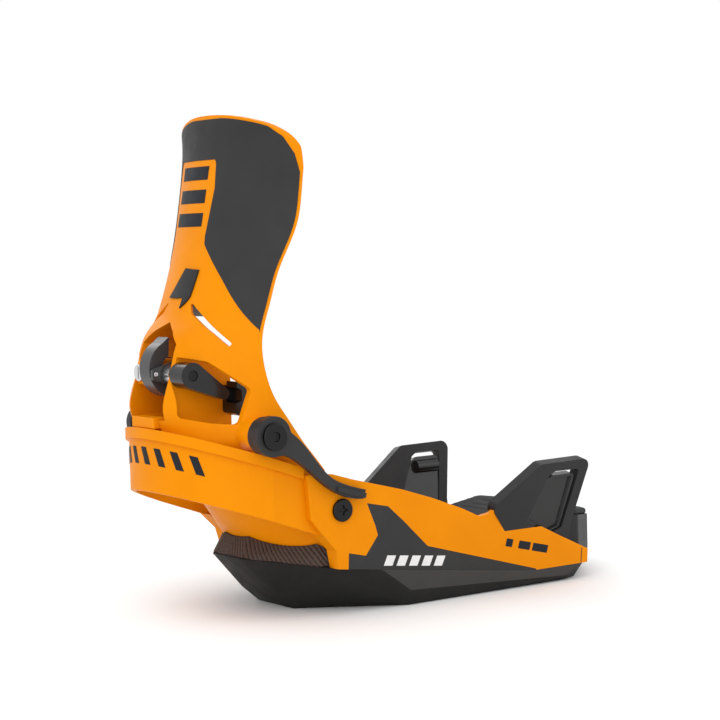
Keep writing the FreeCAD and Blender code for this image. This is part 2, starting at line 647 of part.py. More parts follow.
def drilled(body):
    """body with the holes of the screws that pass through chassis and rails."""
    x, z = CUP_SCREW
    body = body.cut(rod(3.0, (x, -80, z), (x, 80, z)))
    for x, z in ARM_SCREWS:
        body = body.cut(rod(1.8, (x, -80, z), (x, 80, z)))
    for x, y in hook_screw_places():
        hole = rod(2.0, (x, y, 0), (x, y, 40))
        body = body.cut(hole).cut(mirrored(hole))
    return body.removeSplitter()


def side_rail(wall, panel, hook, skin):
    """Outer-side wall of the chassis, less what is let into it."""
    cup = heelcup_band().cut(cup_inside())
    well = rod(WELL_R + WELL_T, (0, 0, 0), (0, 0, 60))
    return drilled(wall.cut([panel, hook, hook_blank().cut(skin), cup, well]))


def chassis(wall):
    """Floor and disc well, between the two side rails."""
    deck = [(-76, -32), (-60, -45), (-52, -57), (TOE_X - 6, -57), (TOE_X + 4, -48), (TOE_X + 10, -24),
            (TOE_X + 10, 24), (TOE_X + 4, 48), (TOE_X - 6, 57), (-52, 57), (-60, 45), (-76, 32)]
    floor = prism("xy", deck, 0, 60, 8.0)
    body = floor.common(above_seam(0.0)).cut(above_seam(FLOOR_T)).cut([wall, mirrored(wall)])
    well = tube(WELL_R + WELL_T, WELL_R, (0, 0, BOARD_GAP), (0, 0, 40)).common(below_floor())
    ledge = tube(WELL_R + 1, DISC_STEP_R + 0.4, (0, 0, BOARD_GAP), (0, 0, LEDGE_Z))
    return drilled(body.cut(rod(WELL_R, (0, 0, 0), (0, 0, 60))).fuse(well.fuse(ledge)))


def heel_bridge(wall, floor):
    """Flaring wall round the heel, from the floor up into the heelcup."""
    ring = heel_ring(0.0).cut(heel_ring(4.0)).common(box(-120, -52, -70, 70, 20, 61.0))
    x, z = CUP_SCREW
    nut_room = rod(NUT_R + GAP, (x, -80, z), (x, 80, z))
    ring = ring.common(above_seam(0.0)).cut([wall, mirrored(wall), floor, nut_room])
    return drilled(ring.cut(heelcup_band().cut(cup_inside())))


def below_floor():
    return prism("xz", seam_line(FLOOR_T) + [(170, -5), (FAR_REAR, -5)], -90, 90)


def base_pad():
    """Soft hull-shaped pad between the chassis and the board."""
    half = [(-62, 18, 0), (-7, 55, 0), (112, 54, 0), (124, 50, 0), (130, 30, 0)]
    half += [(-72, 20, 9), (-8, draft_y(9.0), 9), (112, draft_y(3.0), 3)]
    half += [(-94, 16, seam_z(-94)), (-94, 16, 40)]
    for x, lower in ((-62, 5.0), (-30, 0.0), (120, 0.0)):
        half += [(x, draft_y(seam_z(x)) - lower, seam_z(x)), (x, draft_y(40.0) - lower, 40)]
    half += [(132, 50, 8), (137, 30, 8), (132, 50, 40), (137, 30, 40)]
    hull = convex_hull(half + [(x, -y, z) for x, y, z in half])
    return hull.cut(above_seam(0.0)).cut(rod(WELL_R + WELL_T, (0, 0, -1), (0, 0, 60)))


def convex_hull(points):
    """Solid around points: every plane through three of them with all others on one side is a face."""
    pts = [V(*p) for p in points]
    count = len(pts)
    planes = {}
    for i in range(count):
        for j in range(i + 1, count):
            for k in range(j + 1, count):
                normal = (pts[j] - pts[i]).cross(pts[k] - pts[i])
                if normal.Length < 1e-6:
                    continue
                normal.normalize()
                sides = [normal.dot(p - pts[i]) for p in pts]
                if max(sides) > 1e-6 and min(sides) < -1e-6:
                    continue
                if max(sides) > 1e-6:
                    normal = normal * -1
                on = tuple(n for n, s in enumerate(sides) if abs(s) <= 1e-6)
                planes[on] = normal
    faces = []
    for on, normal in planes.items():
        centre = V(0, 0, 0)
        for n in on:
            centre = centre + pts[n]
        centre = centre * (1.0 / len(on))
        first = (pts[on[0]] - centre).normalize()
        second = normal.cross(first)
        ring = sorted(on, key=lambda n: math.atan2((pts[n] - centre).dot(second),
                                                   (pts[n] - centre).dot(first)))
        faces.append(Part.Face(Part.makePolygon([pts[n] for n in ring] + [pts[ring[0]]])))
    return Part.makeSolid(Part.makeShell(faces)).removeSplitter()


def heel_bumper():
    """Ribbed rubber bumper around the chassis heel, above the base pad."""
    half = [(-93.0, 15.5, seam_z(-93)), (-66.0, 51.0, seam_z(-66)), (-50.0, 56.0, seam_z(-50))]
    half += [(-86.5, 12.0, 44.0), (-64.0, 46.0, 42.0), (-50.0, 52.0, 39.0)]
    return convex_hull(half + [(x, -y, z) for x, y, z in half])


def disc():
    plate = rod(DISC_STEP_R, (0, 0, 0), (0, 0, DISC_T)).fuse(rod(DISC_R, (0, 0, LEDGE_Z), (0, 0, DISC_T)))
    for x, y in bolt_places():
        slot = slot_solid(x, y, BOLT_R, -1, DISC_T + 1)
        recess = slot_solid(x, y, 6.8, DISC_T - 3.4, DISC_T + 1)
        plate = plate.cut(slot.fuse(recess))
    return plate.removeSplitter()


def bolt_places():
    half = BOLT_GRID / 2
    return [(x, y) for x in (-half, half) for y in (-half, half)]


def slot_solid(x, y, r, low, high):
    half = SLOT_L / 2
    ends = [rod(r, (x + s * half, y, low), (x + s * half, y, high)) for s in (-1, 1)]
    return ends[0].fuse([ends[1], box(x - half, x + half, y - r, y + r, low, high)])


def disc_cover():
    """Snap-in cover over the disc's well."""
    plate = rod(WELL_R, (0, 0, 15.0), (0, 0, 17.0))
    skirt = tube(WELL_R, WELL_R - 2.0, (0, 0, 11.5), (0, 0, 15.0))
    cover = plate.fuse(skirt)
    return cover.cut(rod(6, (0, 34, 10), (0, 34, 20))).removeSplitter()


def heel_pad():
    plan = [(HEEL_BOTTOM_X + 9, -30), (-62, -50), (-52.5, -50), (-52.5, 50), (-62, 50),
            (HEEL_BOTTOM_X + 9, 30)]
    block = prism("xy", plan, 20, 40.0, 6.0)
    return block.common(above_seam(FLOOR_T)).common(heel_ring(4.3))


# ---------------------------------------------------------------- toe
def toe_plan(inset):
    half = 47.0 - inset
    return [(89 + inset, -half), (131, -half), (149 - inset, -36), (155.5 - inset, -20),
            (155.5 - inset, 20), (149 - inset, 36), (131, half), (89 + inset, half)]


def toe_ramp():
    """Hollow ramp that slides on the chassis floor."""
    side = [(86, 30.5), (99, 33.0), (127, 37.3), (150, 34.4), (157, 27), (157, 14.4), (137, 12.2),
            (137, 0), (86, 0)]
    solid = prism("xy", toe_plan(0.0), 0, 60, 5.0).common(prism("xz", side, -80, 80))
    solid = solid.common(above_seam(FLOOR_T + GAP).fuse(box(139.5, 170, -60, 60, 12.0, 60)))
    hollow = prism("xy", toe_plan(3.0), 0, 60, 4.0)
    under = [(80, 27.5), (99, 30.0), (127, 34.2), (146, 31.4), (152, 24), (152, 0), (80, 0)]
    hollow = hollow.common(prism("xz", under, -80, 80))
    solid = solid.cut(hollow)
    for x in (104, 120, 136):
        rib = box(x - 1.2, x + 1.2, -45, 45, 0, 33.0).common(hollow)
        rib = rib.common(above_seam(FLOOR_T + GAP).cut(box(139, 170, -60, 60, 0, 12)))
        solid = solid.fuse(rib)
    return solid.removeSplitter()


def toe_pad():
    """Foam pad bonded on the ramp."""
    side = [(86, 30.5), (99, 33.0), (127, 37.3), (150, 34.4), (152, 37.9), (127, 41.1), (99, 36.6),
            (90, 34.6)]
    return prism("xy", toe_plan(1.0), 0, 60, 5.0).common(prism("xz", side, -80, 80))


HOOK_OUTLINE = [(46.5, 51.3), (80.5, 75.2), (119.5, 75.8), (111.0, 38.0), (109.3, 8.0), (66.0, 8.0),
                (60.0, 34.0)]
HOOK_WINDOW = [(74.5, 40.5), (88.0, 67.5), (92.0, 69.8), (111.2, 69.8), (103.2, 33.5), (92.0, 29.5)]
CATCH_OUTLINE = [(74.5, 40.5), (87.2, 64.6), (91.5, 67.0), (109.2, 67.0), (103.2, 33.5), (92.0, 29.5)]


def leaning(shape):
    """Tips an upright outer-side shape outwards about the bend line."""
    shape.rotate(V(0, -HOOK_FACE_Y, HOOK_BEND_Z), ALONG, HOOK_LEAN)
    return shape


def hook_screw_places():
    return [(67.0, -44.5), (75.0, -44.5), (83.0, -44.5)]


def hook_blank():
    """The toe hook's leaning frame before its window is cut."""
    return leaning(prism("xz", HOOK_OUTLINE, -HOOK_FACE_Y, -HOOK_FACE_Y + HOOK_T, 5.0))


def hook_window():
    return leaning(prism("xz", HOOK_WINDOW, -HOOK_FACE_Y - 4, -HOOK_FACE_Y + HOOK_T + 1, 2.0))


def rail_skin(wall):
    """The part of the wall that covers the toe hook's base from outside."""
    return wall.common(box(40, 120, -SIDE - 1, -SIDE + RAIL_SKIN_T, 0, 60)).cut(hook_window())


def toe_hook(skin):
    """Outer-side toe hook: a leaning frame with a window, and a foot screwed to the floor."""
    frame = hook_blank().cut(hook_window()).cut(skin)
    foot = box(62, 87.5, -57.5, -40.5, 0, 40).cut(above_seam(FLOOR_T + 3.5))
    hook = frame.fuse(foot).common(above_seam(FLOOR_T))
    for x, y in hook_screw_places():
        hook = hook.cut(rod(2.0, (x, y, 0), (x, y, 40)))
    return hook.removeSplitter()


def cleat_catch():
    """Insert in the toe hook's window, with a half-round bar inside that holds the boot's toe cleat."""
    face = -HOOK_FACE_Y
    tongue = prism("xz", CATCH_OUTLINE, face + 1.2, face + HOOK_T - 0.6, 2.6)
    bar = rod(4.2, (89.5, face + HOOK_T - 0.6, 60.5), (106.5, face + HOOK_T - 0.6, 60.5))
    return leaning(tongue.fuse(bar).removeSplitter())


def hook_screws():
    screws = []
    for x, y in hook_screw_places():
        top = floor_z(x) + 4.2
        head = rod(3.4, (x, y, top), (x, y, top + 2))
        shank = rod(2.0, (x, y, seam_z(x) + 0.5), (x, y, top + 1))
        screws.append(head.fuse(shank).removeSplitter())
    return both_sides(Part.makeCompound(screws))


# ---------------------------------------------------------------- build
def main():
    os.makedirs(OUT, exist_ok=True)
    for old in os.listdir(OUT):
        if old.endswith(".step"):
            os.remove(os.path.join(OUT, old))
    wall = chassis_wall()
    panel = side_panel(wall)
    skin = rail_skin(wall)
    hook = toe_hook(skin)
    catch = cleat_catch()
    arm = side_arm()
    rail = side_rail(wall, panel, hook, skin)
    frame = chassis(wall)
    bridge = heel_bridge(wall, frame)
    save("highback_shell", highback_shell())
    save("highback_pad", highback_pad())
    save("lever_catch", lever_catch().fuse(catch_post()).removeSplitter())
    save("cleat_guide", cleat_guide())
    save("release_lever", release_lever())
    save("lever_shaft", lever_shaft())
    save("lever_screw", lever_screw())
    save("heel_latch", heel_latch())
    save("latch_frame", latch_frame())
    save("frame_screw", frame_screw())
    save("lean_lever", lean_lever())
    save("lean_pin", lean_pin())
    save("lean_block", lean_block())
    save("heelcup", heelcup())
    save("heelcup_screws", heelcup_screws())
    save("heelcup_nuts", heelcup_nuts())
    save("side_arm_outer", arm)
    save("side_arm_inner", mirrored(arm))
    save("arm_screws", arm_screws())
    save("pivot_bolts", pivot_bolts())
    save("pivot_washers", pivot_washers())
    save("pivot_nuts", pivot_nuts())
    save("side_rail_outer", rail)
    save("side_rail_inner", mirrored(rail))
    save("chassis", frame)
    save("heel_bridge", bridge)
    save("side_panel_outer", panel)
    save("side_panel_inner", mirrored(panel))
    save("base_pad", base_pad())
    bumper = heel_bumper().cut([heel_ring(0.0), frame, wall, mirrored(wall)])
    save("heel_bumper", bumper.common(above_seam(0.0)))
    save("disc", disc())
    save("disc_cover", disc_cover())
    save("heel_pad", heel_pad())
    save("toe_ramp", toe_ramp())
    save("toe_pad", toe_pad())
    save("toe_hook_outer", hook)
    save("toe_hook_inner", mirrored(hook))
    save("cleat_catch_outer", catch)
    save("cleat_catch_inner", mirrored(catch))
    save("hook_screws", hook_screws())


if __name__ == "__main__":
    main()
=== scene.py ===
"""Looks of a strapless step-in snowboard binding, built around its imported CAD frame.

Lengths in the code are in millimetres of the frame (x to the toe, y to the inner side, z up) and become
metres where a mesh or an object is made. Only the lights, the floor and the camera's clipping are given in
metres. Angles are in degrees.
"""

import json
import math

import bmesh
import bpy
from mathutils import Matrix, Vector
from mathutils.bvhtree import BVHTree


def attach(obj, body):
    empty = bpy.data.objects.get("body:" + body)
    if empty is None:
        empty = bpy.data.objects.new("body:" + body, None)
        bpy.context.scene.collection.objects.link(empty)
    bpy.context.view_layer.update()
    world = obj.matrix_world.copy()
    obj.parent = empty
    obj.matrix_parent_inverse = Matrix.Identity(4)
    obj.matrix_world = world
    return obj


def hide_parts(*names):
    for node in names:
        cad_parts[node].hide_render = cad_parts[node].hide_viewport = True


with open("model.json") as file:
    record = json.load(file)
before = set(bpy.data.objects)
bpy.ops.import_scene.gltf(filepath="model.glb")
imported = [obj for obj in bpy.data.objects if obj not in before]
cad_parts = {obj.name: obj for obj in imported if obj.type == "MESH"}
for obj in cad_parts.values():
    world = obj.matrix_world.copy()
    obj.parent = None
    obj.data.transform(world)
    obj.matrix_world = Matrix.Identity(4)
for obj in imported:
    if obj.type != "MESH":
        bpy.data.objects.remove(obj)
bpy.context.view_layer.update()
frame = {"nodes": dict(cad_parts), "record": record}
MM = 0.001
X, Y, Z = 0, 1, 2
SIDES = (("outer", -1), ("inner", 1))   # with the sign of y


# ---------------------------------------------------------------- camera, light and floor
CAMERA_TURN = -35.7         # 0 looks at the outer side, less than 0 comes from nearer the heel
CAMERA_RISE = 3.5
CAMERA_ROLL = -1.5
CAMERA_TARGET = (2.7, 0, 138)
CAMERA_DISTANCE = 1171
SENSOR_WIDTH = 36
FOCAL_LENGTH = 98.5
LIGHT_AIM = (0, 0, 0.12)
FLOOR_HALF = 40.0
FLOOR_DROP = 0.0004
FLOOR_GLOW = (0.22, 0.75)   # distances where the floor starts to brighten and where it is white


def add_camera():
    azimuth, elevation, roll = (math.radians(v) for v in (CAMERA_TURN, CAMERA_RISE, CAMERA_ROLL))
    right = Vector((math.cos(azimuth), math.sin(azimuth), 0))
    back = Vector((math.sin(azimuth) * math.cos(elevation), -math.cos(azimuth) * math.cos(elevation),
                   math.sin(elevation)))
    up = back.cross(right)
    turned_right = right * math.cos(roll) + up * math.sin(roll)
    turned_up = up * math.cos(roll) - right * math.sin(roll)
    place = Vector(CAMERA_TARGET) * MM + back * (CAMERA_DISTANCE * MM)
    data = bpy.data.cameras.new("camera")
    data.sensor_width = SENSOR_WIDTH
    data.lens = FOCAL_LENGTH
    data.clip_start = 0.05
    data.clip_end = 50
    camera = bpy.data.objects.new("camera", data)
    bpy.context.scene.collection.objects.link(camera)
    turn = Matrix((turned_right, turned_up, back)).transposed().to_4x4()
    camera.matrix_world = Matrix.Translation(place) @ turn
    bpy.context.scene.camera = camera


def add_area_light(name, place, size, power):
    data = bpy.data.lights.new(name, "AREA")
    data.shape = "RECTANGLE"
    data.size, data.size_y = size
    data.energy = power
    light = bpy.data.objects.new(name, data)
    bpy.context.scene.collection.objects.link(light)
    light.location = place
    light.rotation_euler = (Vector(LIGHT_AIM) - Vector(place)).to_track_quat("-Z", "Y").to_euler()


def add_studio():
    """Four soft lights in a white room."""
    add_area_light("key_light", (-1.0, -0.7, 1.5), (1.3, 1.3), 10)
    add_area_light("side_light", (-1.4, -1.2, 0.5), (0.9, 0.9), 3.5)
    add_area_light("fill_light", (1.3, -1.1, 0.7), (1.0, 1.2), 3)
    add_area_light("back_light", (0.4, 1.4, 0.9), (1.2, 0.8), 5)
    world = bpy.data.worlds.new("studio")
    bpy.context.scene.world = world
    world.use_nodes = True
    background = world.node_tree.nodes["Background"]
    background.inputs["Color"].default_value = (1, 1, 1, 1)
    background.inputs["Strength"].default_value = 1.0
    view = bpy.context.scene.view_settings
    view.view_transform = "Standard"
    view.look = "None"


# ---------------------------------------------------------------- materials
NOISE_BAND = (0.3, 0.7)     # where most of a noise texture's values lie
ROUGHNESS_SPREAD = 0.06
GRAIN_STRENGTH = 0.35
# noise scales, in features to the metre
MOTTLE_SCALE = 35
GLOSS_SCALE = 120
METAL_TINT_SCALE = 60
METAL_GLOSS_SCALE = 300
METAL_GRAIN_SCALE = 1500
METAL_TINT = 0.82           # share of a metal's colour that its darkest parts keep
METAL_GLOSS = (0.8, 1.25)   # shares of a metal's roughness between which it varies
METAL_GRAIN_STRENGTH = 0.15
METAL_GRAIN_DEPTH = 0.05
FLOOR_SCALE = 3
RIB_HEIGHTS = (0.35, 0.75)              # over the CAD surface, where a groove ends and a crest starts; the painted groove shade fades out between them


class Nodes:
    """A material's node tree with short ways to add and join nodes."""

    def __init__(self, name):
        self.material = bpy.data.materials.new(name)
        self.material.use_nodes = True
        self.tree = self.material.node_tree
        self.shader = self.tree.nodes["Principled BSDF"]
        self.place = self.add("ShaderNodeTexCoord").outputs["Object"]

    def add(self, kind, **settings):
        node = self.tree.nodes.new(kind)
        for key, value in settings.items():
            setattr(node, key, value)
        return node

    def join(self, source, target):
        self.tree.links.new(source, target)

    def put(self, value, target):
        """Gives an input its value: an output to join, an RGB tuple or a number."""
        if isinstance(value, bpy.types.NodeSocket):
            self.join(value, target)
        elif isinstance(value, tuple):
            target.default_value = (*value, 1.0)
        else:
            target.default_value = value

    def noise(self, scale, detail=3.0, roughness=0.5):
        node = self.add("ShaderNodeTexNoise")
        node.inputs["Scale"].default_value = scale
        node.inputs["Detail"].default_value = detail
        node.inputs["Roughness"].default_value = roughness
        self.join(self.place, node.inputs["Vector"])
        return node.outputs["Fac"]

    def ramp(self, source, band, low=0.0, high=1.0):
        """Takes the values of source within band to the range from low to high."""
        node = self.add("ShaderNodeMapRange")
        node.inputs["From Min"].default_value, node.inputs["From Max"].default_value = band
        node.inputs["To Min"].default_value = low
        node.inputs["To Max"].default_value = high
        self.join(source, node.inputs["Value"])
        return node.outputs["Result"]

    def mix(self, share, first, second):
        """Colour between first and second, each an output or an RGB tuple."""
        node = self.add("ShaderNodeMix", data_type="RGBA")
        self.put(share, node.inputs["Factor"])
        self.put(first, node.inputs["A"])
        self.put(second, node.inputs["B"])
        return [o for o in node.outputs if o.type == "RGBA"][0]

    def bump(self, height, strength, distance):
        node = self.add("ShaderNodeBump")
        node.inputs["Strength"].default_value = strength
        node.inputs["Distance"].default_value = distance
        self.join(height, node.inputs["Height"])
        self.join(node.outputs["Normal"], self.shader.inputs["Normal"])


def grained(name, roughness, grain, gloss=0.2):
    """A material still without its colour: a fine grain, as (size, depth), and slightly uneven gloss."""
    n = Nodes(name)
    n.shader.inputs["Specular IOR Level"].default_value = gloss
    uneven = n.ramp(n.noise(GLOSS_SCALE), NOISE_BAND, roughness - ROUGHNESS_SPREAD,
                    roughness + ROUGHNESS_SPREAD)
    n.join(uneven, n.shader.inputs["Roughness"])
    size, depth = grain
    n.bump(n.noise(1 / (size * MM), 4, 0.6), GRAIN_STRENGTH, depth * MM)
    return n


def plastic(name, colour, dark, roughness, grain, gloss=0.2):
    """Moulded plastic, faintly mottled between its colour and a darker one."""
    n = grained(name, roughness, grain, gloss)
    mottle = n.mix(n.ramp(n.noise(MOTTLE_SCALE, 4), NOISE_BAND), dark, colour)
    n.join(mottle, n.shader.inputs["Base Color"])
    return n


def ribbed_rubber_groove_shade():
    """Rubber painted darker in its grooves, as painted shade in the hollows between the ribs."""
    n = grained("ribbed_rubber_groove_shade", 0.5, (0.6, 0.03))
    height = n.add("ShaderNodeAttribute", attribute_name="rib_height").outputs["Fac"]
    # painted shade: the groove colour darkens the hollows between the ribs
    groove, crest = (0.012, 0.008, 0.007), (0.075, 0.054, 0.045)
    n.join(n.mix(n.ramp(height, RIB_HEIGHTS), groove, crest), n.shader.inputs["Base Color"])
    return n


def metal(name, colour, roughness):
    n = Nodes(name)
    n.shader.inputs["Metallic"].default_value = 1.0
    dark = tuple(c * METAL_TINT for c in colour)
    n.join(n.mix(n.noise(METAL_TINT_SCALE), dark, colour), n.shader.inputs["Base Color"])
    uneven = n.ramp(n.noise(METAL_GLOSS_SCALE), NOISE_BAND, *(roughness * share for share in METAL_GLOSS))
    n.join(uneven, n.shader.inputs["Roughness"])
    n.bump(n.noise(METAL_GRAIN_SCALE, 2), METAL_GRAIN_STRENGTH, METAL_GRAIN_DEPTH * MM)
    return n


def make_materials():
    """The materials by their short names; a CAD node's slot is one of these names."""
    made = {
        "orange": plastic("orange_nylon", (0.765, 0.245, 0.0), (0.72, 0.224, 0.0),
                          roughness=0.42, grain=(0.5, 0.02), gloss=0.06),
        "charcoal": plastic("charcoal_nylon", (0.022, 0.022, 0.0225), (0.017, 0.017, 0.0175),
                            roughness=0.46, grain=(0.6, 0.04)),
        "arm": plastic("arm_nylon", (0.03, 0.03, 0.031), (0.025, 0.025, 0.026),
                       roughness=0.4, grain=(0.6, 0.03)),
        "film": plastic("charcoal_film", (0.035, 0.035, 0.036), (0.03, 0.03, 0.031),
                        roughness=0.55, grain=(0.4, 0.015), gloss=0.12),
        "black_gloss": plastic("black_gloss", (0.01, 0.01, 0.01), (0.007, 0.007, 0.007),
                               roughness=0.2, grain=(0.8, 0.02), gloss=0.4),
        "rubber": plastic("base_rubber", (0.017, 0.0165, 0.016), (0.013, 0.0125, 0.012),
                          roughness=0.6, grain=(0.7, 0.06), gloss=0.15),
        # painted light: a lighter copy of the base rubber for the pad's upright sides, standing in for the
        # floor's light reflected there
        "rubber_lit_side": plastic("base_side_painted_light", (0.052, 0.05, 0.048), (0.045, 0.0435, 0.042),
                               roughness=0.55, grain=(0.7, 0.06), gloss=0.15),
        "foam": plastic("foam", (0.04, 0.041, 0.043), (0.033, 0.034, 0.036),
                        roughness=0.85, grain=(1.2, 0.15), gloss=0.15),
        "steel": metal("zinc_steel", (0.72, 0.72, 0.73), roughness=0.24),
        "black_steel": metal("black_steel", (0.03, 0.03, 0.031), roughness=0.3),
        "graphite": plastic("graphite", (0.05, 0.05, 0.052), (0.04, 0.04, 0.042),
                            roughness=0.28, grain=(0.6, 0.03), gloss=0.4),
        "pale": plastic("pale_inlay", (0.78, 0.78, 0.78), (0.7, 0.7, 0.7),
                        roughness=0.5, grain=(0.5, 0.01)),
        "mark": plastic("dark_ink", (0.018, 0.02, 0.024), (0.014, 0.016, 0.02),
                        roughness=0.5, grain=(0.5, 0.01), gloss=0.1),
        "ribs": ribbed_rubber_groove_shade(),
        "print": plastic("dark_panel", (0.035, 0.035, 0.035), (0.028, 0.028, 0.029),
                         roughness=0.45, grain=(0.5, 0.02), gloss=0.15),
    }
    return {key: n.material for key, n in made.items()}


def add_floor():
    """Pale floor that brightens to the backdrop's white away from the binding, so no horizon shows."""
    n = Nodes("pale_floor")
    n.join(n.mix(n.noise(FLOOR_SCALE), (0.9, 0.9, 0.9), (0.92, 0.92, 0.915)), n.shader.inputs["Base Color"])
    n.shader.inputs["Roughness"].default_value = 0.8
    n.shader.inputs["Specular IOR Level"].default_value = 0.1
    away = n.add("ShaderNodeVectorMath", operation="LENGTH")
    n.join(n.place, away.inputs[0])
    white = n.add("ShaderNodeEmission")
    white.inputs["Strength"].default_value = 1.0
    both = n.add("ShaderNodeMixShader")
    n.join(n.ramp(away.outputs["Value"], FLOOR_GLOW), both.inputs["Fac"])
    n.join(n.shader.outputs["BSDF"], both.inputs[1])
    n.join(white.outputs["Emission"], both.inputs[2])
    n.join(both.outputs["Shader"], n.tree.nodes["Material Output"].inputs["Surface"])
    mesh = bpy.data.meshes.new("floor")
    corners = [(x * FLOOR_HALF, y * FLOOR_HALF, 0) for x, y in ((-1, -1), (1, -1), (1, 1), (-1, 1))]
    mesh.from_pydata(corners, [], [(0, 1, 2, 3)])
    mesh.materials.append(n.material)
    floor = bpy.data.objects.new("floor", mesh)
    floor.location.z = -FLOOR_DROP
    bpy.context.scene.collection.objects.link(floor)


# ---------------------------------------------------------------- meshes
def smooth_faces(mesh):
    mesh.polygons.foreach_set("use_smooth", [True] * len(mesh.polygons))


def link_mesh(name, mesh, material, sharp_angle=35):
    obj = bpy.data.objects.new(name, mesh)
    bpy.context.scene.collection.objects.link(obj)
    mesh.materials.clear()
    mesh.materials.append(material)
    smooth_faces(mesh)
    mesh.set_sharp_from_angle(angle=math.radians(sharp_angle))
    return obj


def apply_modifiers(obj):
    bpy.context.view_layer.update()
    graph = bpy.context.evaluated_depsgraph_get()
    mesh = bpy.data.meshes.new_from_object(obj.evaluated_get(graph))
    old = obj.data
    obj.modifiers.clear()
    obj.data = mesh
    bpy.data.meshes.remove(old)


def body_of(node):
    return next(b for b, names in frame["record"]["behaviour"]["bodies"].items() if node in names)


def slot_of(node):
    return next(p["material_slot"] for p in frame["record"]["subparts"] if p["node"] == node)


# ---------------------------------------------------------------- moulded and machined pieces
# width of the edge rounding of each node that is shown as a copy of its CAD mesh
EDGES = {
    "chassis": 0.9, "heel_bridge": 0.7, "side_rail_outer": 1.0, "side_rail_inner": 1.0, "heelcup": 0.7,
    "side_arm_outer": 1.4, "side_arm_inner": 1.4, "highback_shell": 0.7,
    "toe_hook_outer": 1.5, "toe_hook_inner": 1.5, "release_lever": 1.6, "lean_lever": 0.9,
    "base_pad": 1.2, "toe_ramp": 1.2, "lever_catch": 0.9, "cleat_guide": 0.8, "disc": 0.4,
    "disc_cover": 0.5, "heel_bumper": 0.8, "side_panel_outer": 0.2, "side_panel_inner": 0.2,
    "lever_shaft": 0.3, "lever_screw": 0.3, "heel_latch": 0.6, "latch_frame": 0.4, "frame_screw": 0.2,
    "lean_pin": 0.4, "lean_block": 0.6, "heelcup_screws": 0.4, "heelcup_nuts": 0.4, "arm_screws": 0.4,
    "pivot_bolts": 0.5, "pivot_washers": 0.3, "pivot_nuts": 0.5, "hook_screws": 0.4,
}
CATCH_EDGE = 0.7
CATCH_FACING = (0, 0.974, -0.225)       # of the inner catch's broad face
CATCH_RIM = 1.8
CATCH_SLOPE = 0.8
CATCH_DEPTH = 1.6
CATCH_AGREES = 0.985        # least cosine between a face's normal and the way it has to look
EDGE_SEGMENTS = 3
EDGE_ANGLE = 32             # edges that turn by less stay as they are
SHARP_ANGLE = 40
WELD = 0.004                # vertices of a CAD mesh that are nearer than this are one
SLIVER = 0.002
FLAT_ANGLE = 0.6            # faces that turn by less are joined
UPRIGHT = 0.975             # least y of the normal of a face that counts as an upright side


def moulded(node, width, material, facing=None):
    """A copy of a CAD node with its sharp edges rounded, as a moulded or machined piece has them.
    The largest face that looks along facing is sunk, with a rim left around it."""
    bm = bmesh.new()
    bm.from_mesh(frame["nodes"][node].data)
    bmesh.ops.remove_doubles(bm, verts=bm.verts, dist=WELD * MM)
    bmesh.ops.dissolve_degenerate(bm, dist=SLIVER * MM, edges=bm.edges)
    bmesh.ops.dissolve_limit(bm, angle_limit=math.radians(FLAT_ANGLE), verts=bm.verts, edges=bm.edges)
    if facing:
        sink_face(bm, facing)
    mesh = bpy.data.meshes.new(node + "_look")
    bm.to_mesh(mesh)
    bm.free()
    obj = link_mesh(node + "_look", mesh, material)
    bevel = obj.modifiers.new("edge", "BEVEL")
    bevel.width = width * MM
    bevel.segments = EDGE_SEGMENTS
    bevel.limit_method = "ANGLE"
    bevel.angle_limit = math.radians(EDGE_ANGLE)
    apply_modifiers(obj)
    smooth_faces(obj.data)
    obj.data.set_sharp_from_angle(angle=math.radians(SHARP_ANGLE))
    obj.modifiers.new("normals", "WEIGHTED_NORMAL").keep_sharp = True
    apply_modifiers(obj)
    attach(obj, body_of(node))
    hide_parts(node)
    return obj


def sink_face(bm, facing):
    """Sinks the largest flat face that looks along facing, leaving a rim."""
    faces = [f for f in bm.faces if f.normal.dot(facing) > CATCH_AGREES]
    face = max(faces, key=lambda f: f.calc_area())
    bmesh.ops.inset_region(bm, faces=[face], thickness=CATCH_RIM * MM, depth=0)
    bmesh.ops.inset_region(bm, faces=[face], thickness=CATCH_SLOPE * MM, depth=-CATCH_DEPTH * MM)


def paint_lit_sides(obj, material):
    """Paints the base pad's upright sides lighter than the rest of the pad: painted light, standing in for
    the pale floor's light that these sides reflect.
    """
    obj.data.materials.append(material)
    for face in obj.data.polygons:
        if abs(face.normal.y) > UPRIGHT:
            face.material_index = 1


def add_moulded_pieces(materials):
    for node, width in EDGES.items():
        look = moulded(node, width, materials["arm" if node.startswith("side_arm") else slot_of(node)])
        # the base pad's upright sides are painted lighter, as painted floor light
        if node == "base_pad":
            paint_lit_sides(look, materials["rubber_lit_side"])
    for side, way in SIDES:
        facing = Vector((CATCH_FACING[X], way * CATCH_FACING[Y], CATCH_FACING[Z]))
        moulded("cleat_catch_" + side, CATCH_EDGE, materials["black_gloss"], facing)


# ---------------------------------------------------------------- foam pads
PAD_VOXEL = 0.9
PAD_SMOOTHING = 9
# channels in each pad: the axis they are spaced along with their places and half-width, the axis they are
# pressed along with their depth, and the |y| where they have run out with the length of the run-out
CHANNELS = {
    "highback_pad": ((Z, (216.0, 232.0, 248.0), 1.3), (X, 0.9), (40.0, 6.0)),
    "heel_pad": ((Y, (-24.0, -8.0, 8.0, 24.0), 1.1), (Z, 0.7), (math.inf, 1.0)),
    "toe_pad": ((X, (104.0, 112.0, 120.0), 1.0), (Z, 0.7), (36.0, 5.0)),
}


